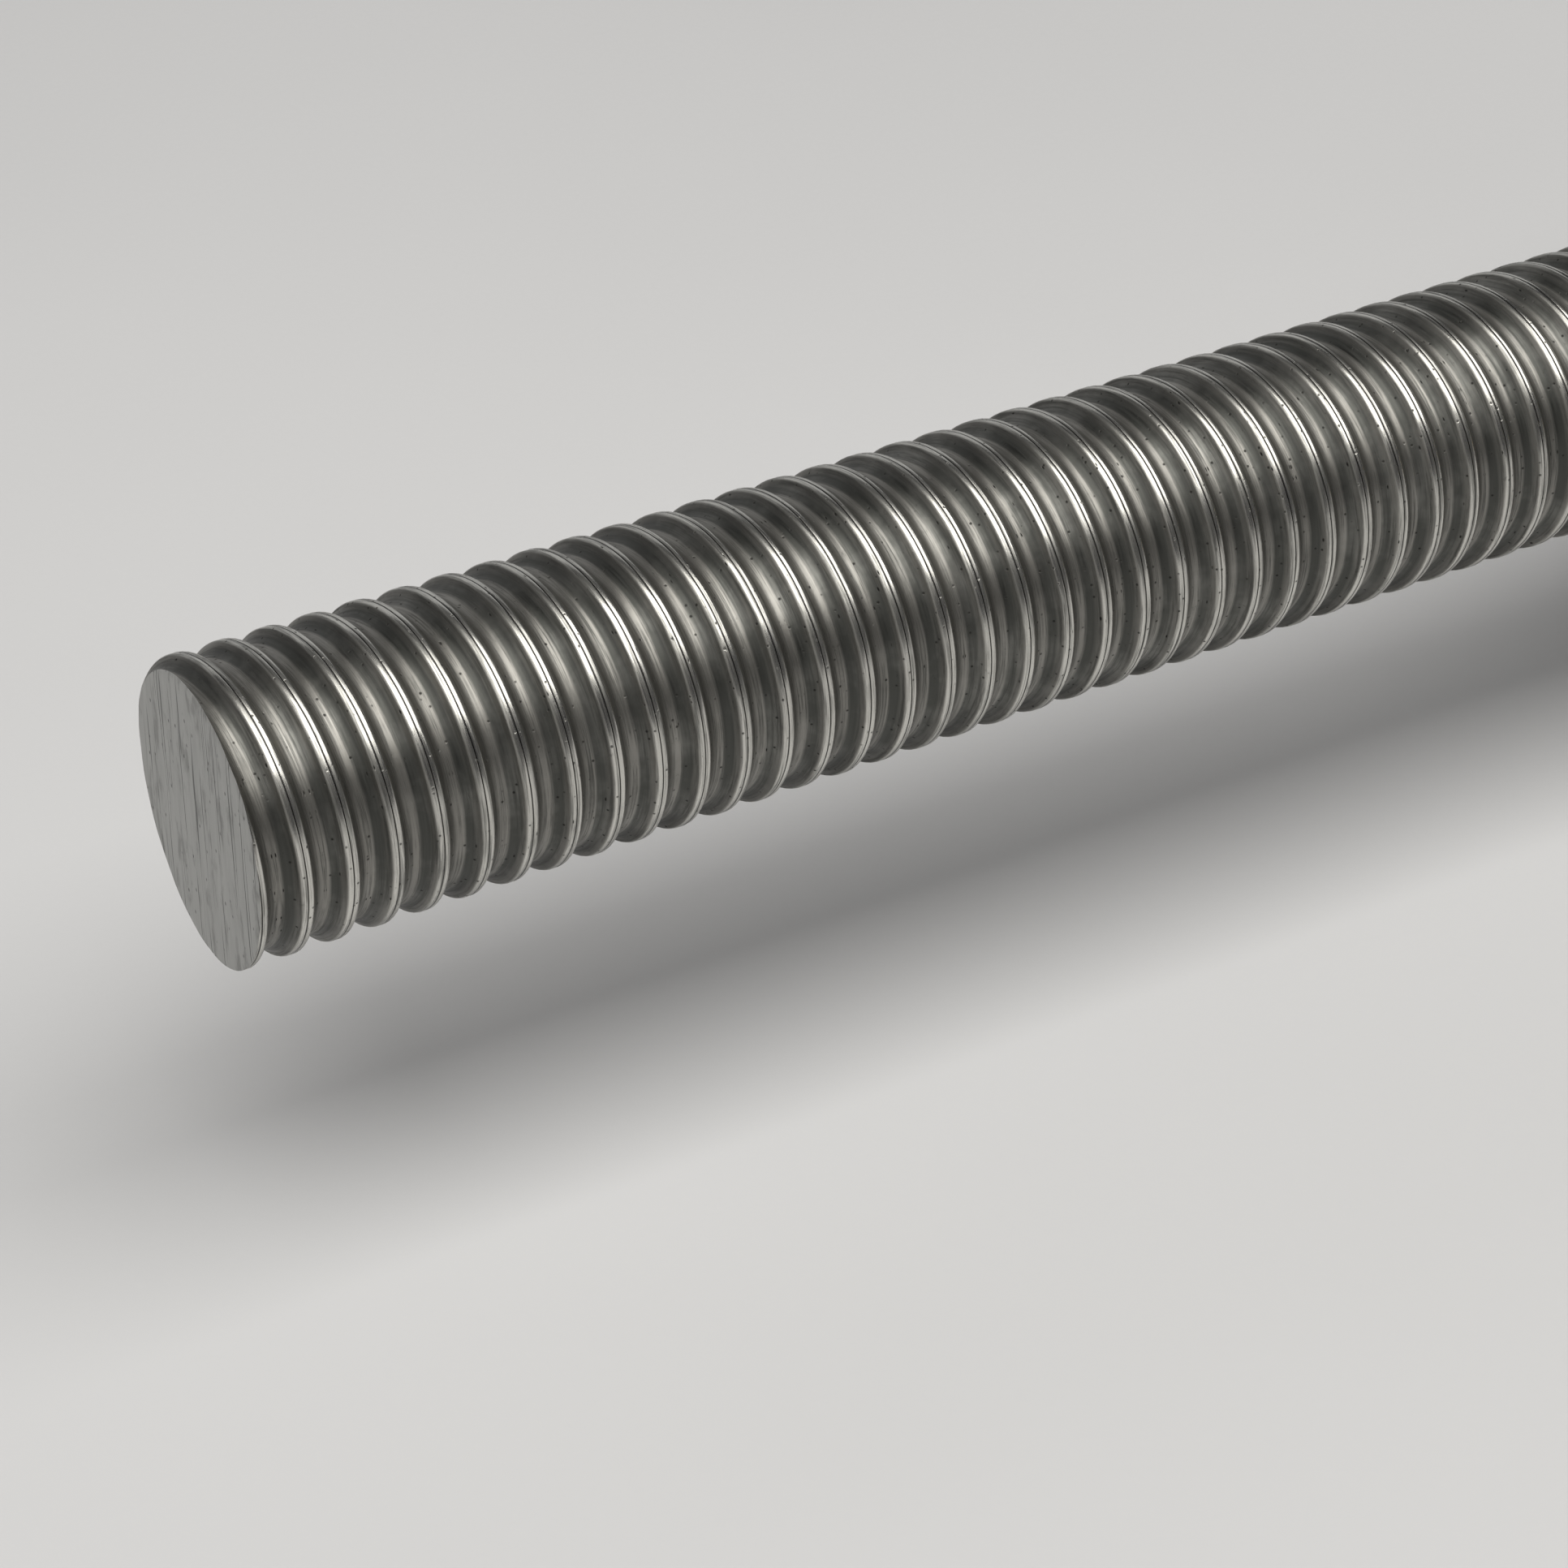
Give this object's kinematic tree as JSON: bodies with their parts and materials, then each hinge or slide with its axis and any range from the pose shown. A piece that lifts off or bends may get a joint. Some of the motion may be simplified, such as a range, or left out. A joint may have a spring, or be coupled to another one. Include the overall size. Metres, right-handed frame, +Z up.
{
  "type": "ball screw assembly",
  "caption": "Rolled ball screw shaft with a sawn free end, a flanged ball nut and a fixed-end bearing block with lock nut and keyed drive journal.",
  "frame": {"origin": "centre of the support block's foot face, under the screw's axis", "axes": "+X along the screw from its sawn free end to its drive end, +Y across, +Z up; the screw's axis is at z = 48 mm"},
  "size_m": [0.4066, 0.106, 0.088],
  "materials": {
    "rolled_steel": "cold-rolled thread, polished along the thread, dark grey with bright crests",
    "ground_steel": "hardened and ground, fine circumferential grain",
    "bearing_steel": "superfinished bearing steel",
    "black_oxide": "black oxide over milled steel",
    "seal_rubber": "moulded nitrile rubber",
    "nut_plastic": "natural moulded polyamide",
    "brass": "turned brass"
  },
  "bodies": {
    "support": {"support_housing": "black_oxide", "bearing_cover": "black_oxide", "cover_screw_1": "black_oxide", "cover_screw_2": "black_oxide", "cover_screw_3": "black_oxide", "cover_screw_4": "black_oxide", "seal_inner": "seal_rubber", "seal_outer": "seal_rubber", "bearing_a_outer_ring": "bearing_steel", "bearing_b_outer_ring": "bearing_steel"},
    "screw": {"screw_shaft": "rolled_steel", "drive_key": "ground_steel", "collar_inner": "ground_steel", "collar_outer": "ground_steel", "bearing_a_inner_ring": "bearing_steel", "bearing_b_inner_ring": "bearing_steel", "lock_nut": "black_oxide", "lock_nut_pad_1": "brass", "lock_nut_pad_2": "brass", "lock_nut_screw_1": "black_oxide", "lock_nut_screw_2": "black_oxide"},
    "nut": {"nut_body": "ground_steel", "ball_deflector_1": "nut_plastic", "ball_deflector_2": "nut_plastic", "ball_deflector_3": "nut_plastic", "ball_deflector_4": "nut_plastic", "ball_circuit_1": "bearing_steel", "ball_circuit_2": "bearing_steel", "ball_circuit_3": "bearing_steel", "ball_circuit_4": "bearing_steel", "wiper_front": "nut_plastic", "wiper_rear": "nut_plastic", "wiper_screw_front": "black_oxide", "wiper_screw_rear": "black_oxide", "grease_nipple": "brass"},
    "cage_a": {"bearing_a_cage": "nut_plastic"},
    "cage_b": {"bearing_b_cage": "nut_plastic"}
  },
  "joints": [
    {"name": "screw_spin", "type": "hinge", "parent": "support", "child": "screw", "pos_m": [0, 0, 0.048], "axis": [1, 0, 0], "range_deg": [-1080, 13680]},
    {"name": "nut_travel", "type": "slide", "parent": "support", "child": "nut", "axis": [1, 0, 0], "range_m": [-0.1905, 0.0155]},
    {"name": "cage_a_spin", "type": "hinge", "parent": "support", "child": "cage_a", "pos_m": [0, 0, 0.048], "axis": [1, 0, 0], "range_deg": [-450, 5625]},
    {"name": "cage_b_spin", "type": "hinge", "parent": "support", "child": "cage_b", "pos_m": [0, 0, 0.048], "axis": [1, 0, 0], "range_deg": [-450, 5625]}
  ],
  "couplings": [
    {"joint": "nut_travel", "follows": "screw_spin", "m_per_rad": -0.00079577},
    {"joint": "cage_a_spin", "follows": "screw_spin", "ratio": 0.4107},
    {"joint": "cage_b_spin", "follows": "screw_spin", "ratio": 0.4107}
  ]
}
